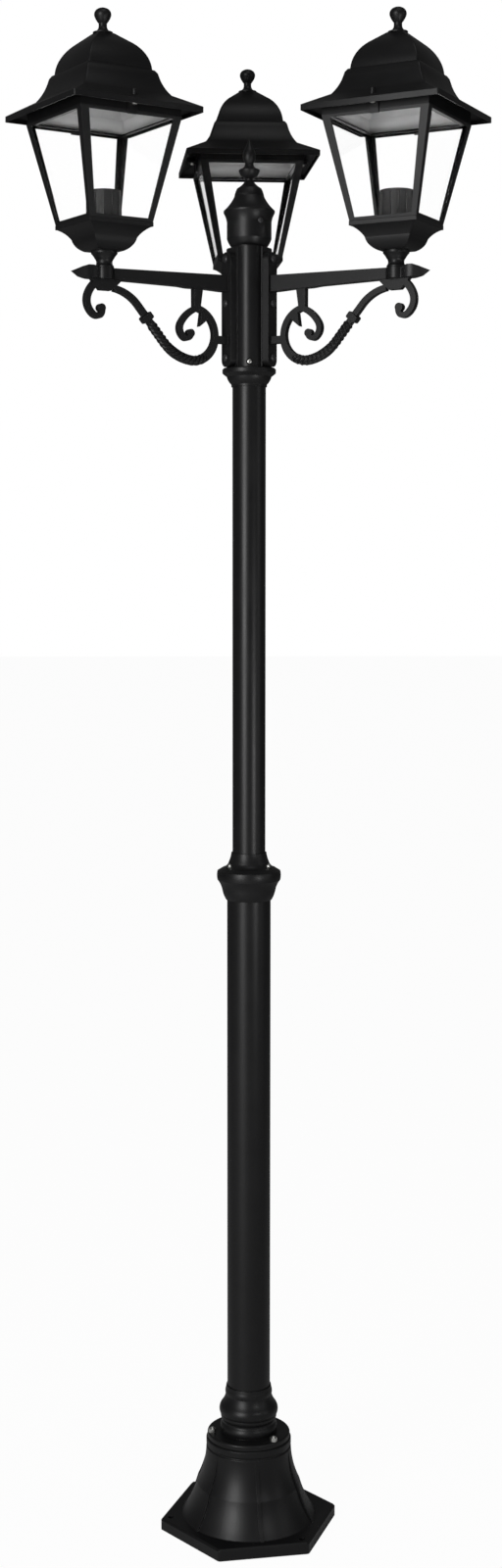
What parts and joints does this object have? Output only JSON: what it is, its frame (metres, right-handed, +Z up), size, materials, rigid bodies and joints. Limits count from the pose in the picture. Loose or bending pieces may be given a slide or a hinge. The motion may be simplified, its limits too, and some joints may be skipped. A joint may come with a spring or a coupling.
{
  "type": "garden lamp post",
  "caption": "Tall outdoor lamp post with square glazed lanterns on scrolled arms round a central hub, stepped tubes and a hexagonal bell foot.",
  "frame": {"origin": "post axis at the underside of the foot plate, the centre of the ground bolts' circle", "axes": "+Z up along the post; the arms point at 90, 210 and 330 degrees about +Z, counted from +X"},
  "size_m": [0.6294, 0.554, 2.0595],
  "materials": {
    "cast_black": "satin powder coat",
    "tube_black": "satin powder coat",
    "roof_black": "satin powder coat",
    "zinc_screws": "bright zinc plating",
    "clear_glass": "clear polished",
    "black_moulding": "fine satin moulding",
    "block_white": "plain moulding",
    "lamp_thread": "plain sheet",
    "contact_brass": "plain"
  },
  "bodies": {
    "post": {"base_casting": "cast_black", "base_bolts": "zinc_screws", "post_foot": "cast_black", "foot_grub_screws": "zinc_screws", "lower_tube": "tube_black", "mid_collar": "cast_black", "collar_screws": "zinc_screws", "upper_tube": "tube_black", "arm_hub": "cast_black", "hub_screws": "zinc_screws", "arm_screws": "zinc_screws", "centre_cap": "cast_black", "cap_spire": "cast_black", "cap_screw": "zinc_screws", "terminal_block": "block_white", "left_arm": "cast_black", "right_arm": "cast_black", "back_arm": "cast_black", "left_neck": "cast_black", "left_nipple": "zinc_screws", "left_pan": "cast_black", "left_nipple_nut": "zinc_screws", "left_holder_strap": "zinc_screws", "left_cage": "cast_black", "left_glass_panes": "clear_glass", "left_lamp_holder": "black_moulding", "left_socket_shell": "lamp_thread", "left_centre_contact": "contact_brass", "left_roof_screws": "zinc_screws", "right_neck": "cast_black", "right_nipple": "zinc_screws", "right_pan": "cast_black", "right_nipple_nut": "zinc_screws", "right_holder_strap": "zinc_screws", "right_cage": "cast_black", "right_glass_panes": "clear_glass", "right_lamp_holder": "black_moulding", "right_socket_shell": "lamp_thread", "right_centre_contact": "contact_brass", "right_roof_screws": "zinc_screws", "back_neck": "cast_black", "back_nipple": "zinc_screws", "back_pan": "cast_black", "back_nipple_nut": "zinc_screws", "back_holder_strap": "zinc_screws", "back_cage": "cast_black", "back_glass_panes": "clear_glass", "back_lamp_holder": "black_moulding", "back_socket_shell": "lamp_thread", "back_centre_contact": "contact_brass", "back_roof_screws": "zinc_screws"},
    "left_roof_body": {"left_roof": "roof_black", "left_roof_finial": "roof_black"},
    "right_roof_body": {"right_roof": "roof_black", "right_roof_finial": "roof_black"},
    "back_roof_body": {"back_roof": "roof_black", "back_roof_finial": "roof_black"}
  },
  "joints": [
    {"name": "left_roof_lift", "type": "slide", "parent": "post", "child": "left_roof_body", "axis": [0, 0, 1], "range_m": [0, 0.08]},
    {"name": "right_roof_lift", "type": "slide", "parent": "post", "child": "right_roof_body", "axis": [0, 0, 1], "range_m": [0, 0.08]},
    {"name": "back_roof_lift", "type": "slide", "parent": "post", "child": "back_roof_body", "axis": [0, 0, 1], "range_m": [0, 0.08]}
  ]
}
